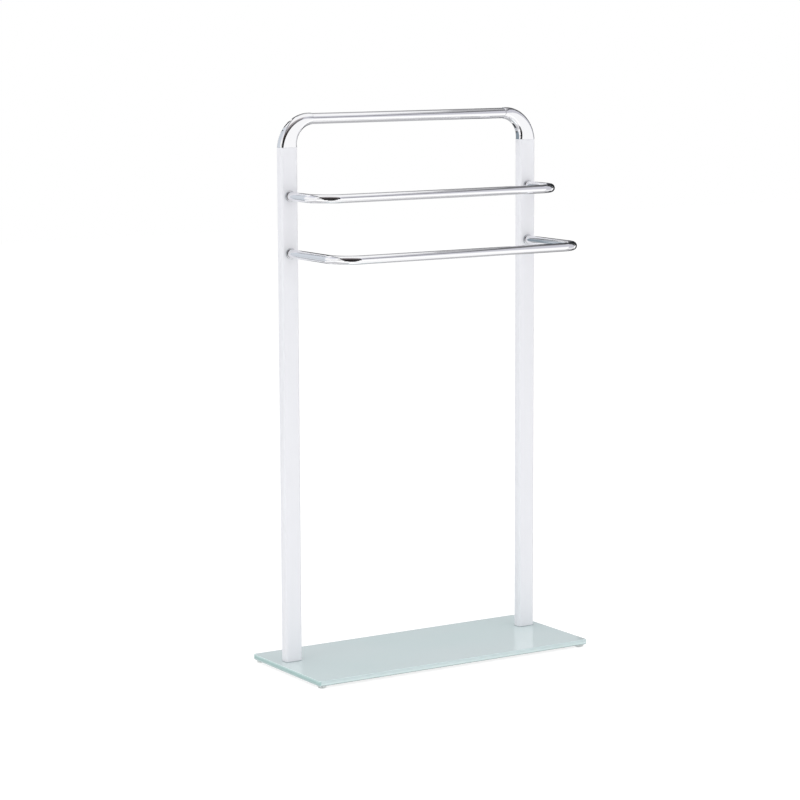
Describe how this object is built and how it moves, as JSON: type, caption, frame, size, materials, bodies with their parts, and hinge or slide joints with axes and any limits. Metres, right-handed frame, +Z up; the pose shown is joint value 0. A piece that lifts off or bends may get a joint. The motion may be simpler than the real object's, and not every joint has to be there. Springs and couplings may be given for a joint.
{
  "type": "towel stand",
  "caption": "Free-standing towel stand: white posts on a glass base plate, a chromed top rail and two chromed U rails that reach forwards at different depths.",
  "frame": {"origin": "on the floor, below the middle of the whole stand's outline", "axes": "+Z up, +X to the right seen from the front, -Y to the front, where the U rails reach"},
  "size_m": [0.48, 0.2256, 0.8305],
  "materials": {
    "glass_plate": "gloss, pale green, coated white beneath",
    "white_lacquer": "satin gloss powder coat",
    "chrome_plate": "mirror",
    "clear_foot": "soft clear",
    "grey_gasket": "matt",
    "nylon": "moulded natural nylon",
    "zinc_steel": "bright zinc"
  },
  "bodies": {
    "root": {"glass_base": "glass_plate", "foot_front_left": "clear_foot", "foot_front_right": "clear_foot", "foot_rear_left": "clear_foot", "foot_rear_right": "clear_foot", "left_post": "white_lacquer", "right_post": "white_lacquer", "left_post_gasket": "grey_gasket", "right_post_gasket": "grey_gasket", "left_post_insert": "nylon", "right_post_insert": "nylon", "left_base_bush": "nylon", "right_base_bush": "nylon", "left_base_screw": "zinc_steel", "right_base_screw": "zinc_steel", "left_elbow": "chrome_plate", "right_elbow": "chrome_plate", "top_rail": "chrome_plate", "upper_rail": "chrome_plate", "lower_rail": "chrome_plate", "upper_left_collar": "chrome_plate", "upper_right_collar": "chrome_plate", "lower_left_collar": "chrome_plate", "lower_right_collar": "chrome_plate", "upper_left_end_plug": "zinc_steel", "upper_right_end_plug": "zinc_steel", "lower_left_end_plug": "zinc_steel", "lower_right_end_plug": "zinc_steel", "upper_left_rail_washer": "zinc_steel", "upper_right_rail_washer": "zinc_steel", "lower_left_rail_washer": "zinc_steel", "lower_right_rail_washer": "zinc_steel", "upper_left_rail_screw": "zinc_steel", "upper_right_rail_screw": "zinc_steel", "lower_left_rail_screw": "zinc_steel", "lower_right_rail_screw": "zinc_steel"}
  },
  "joints": []
}
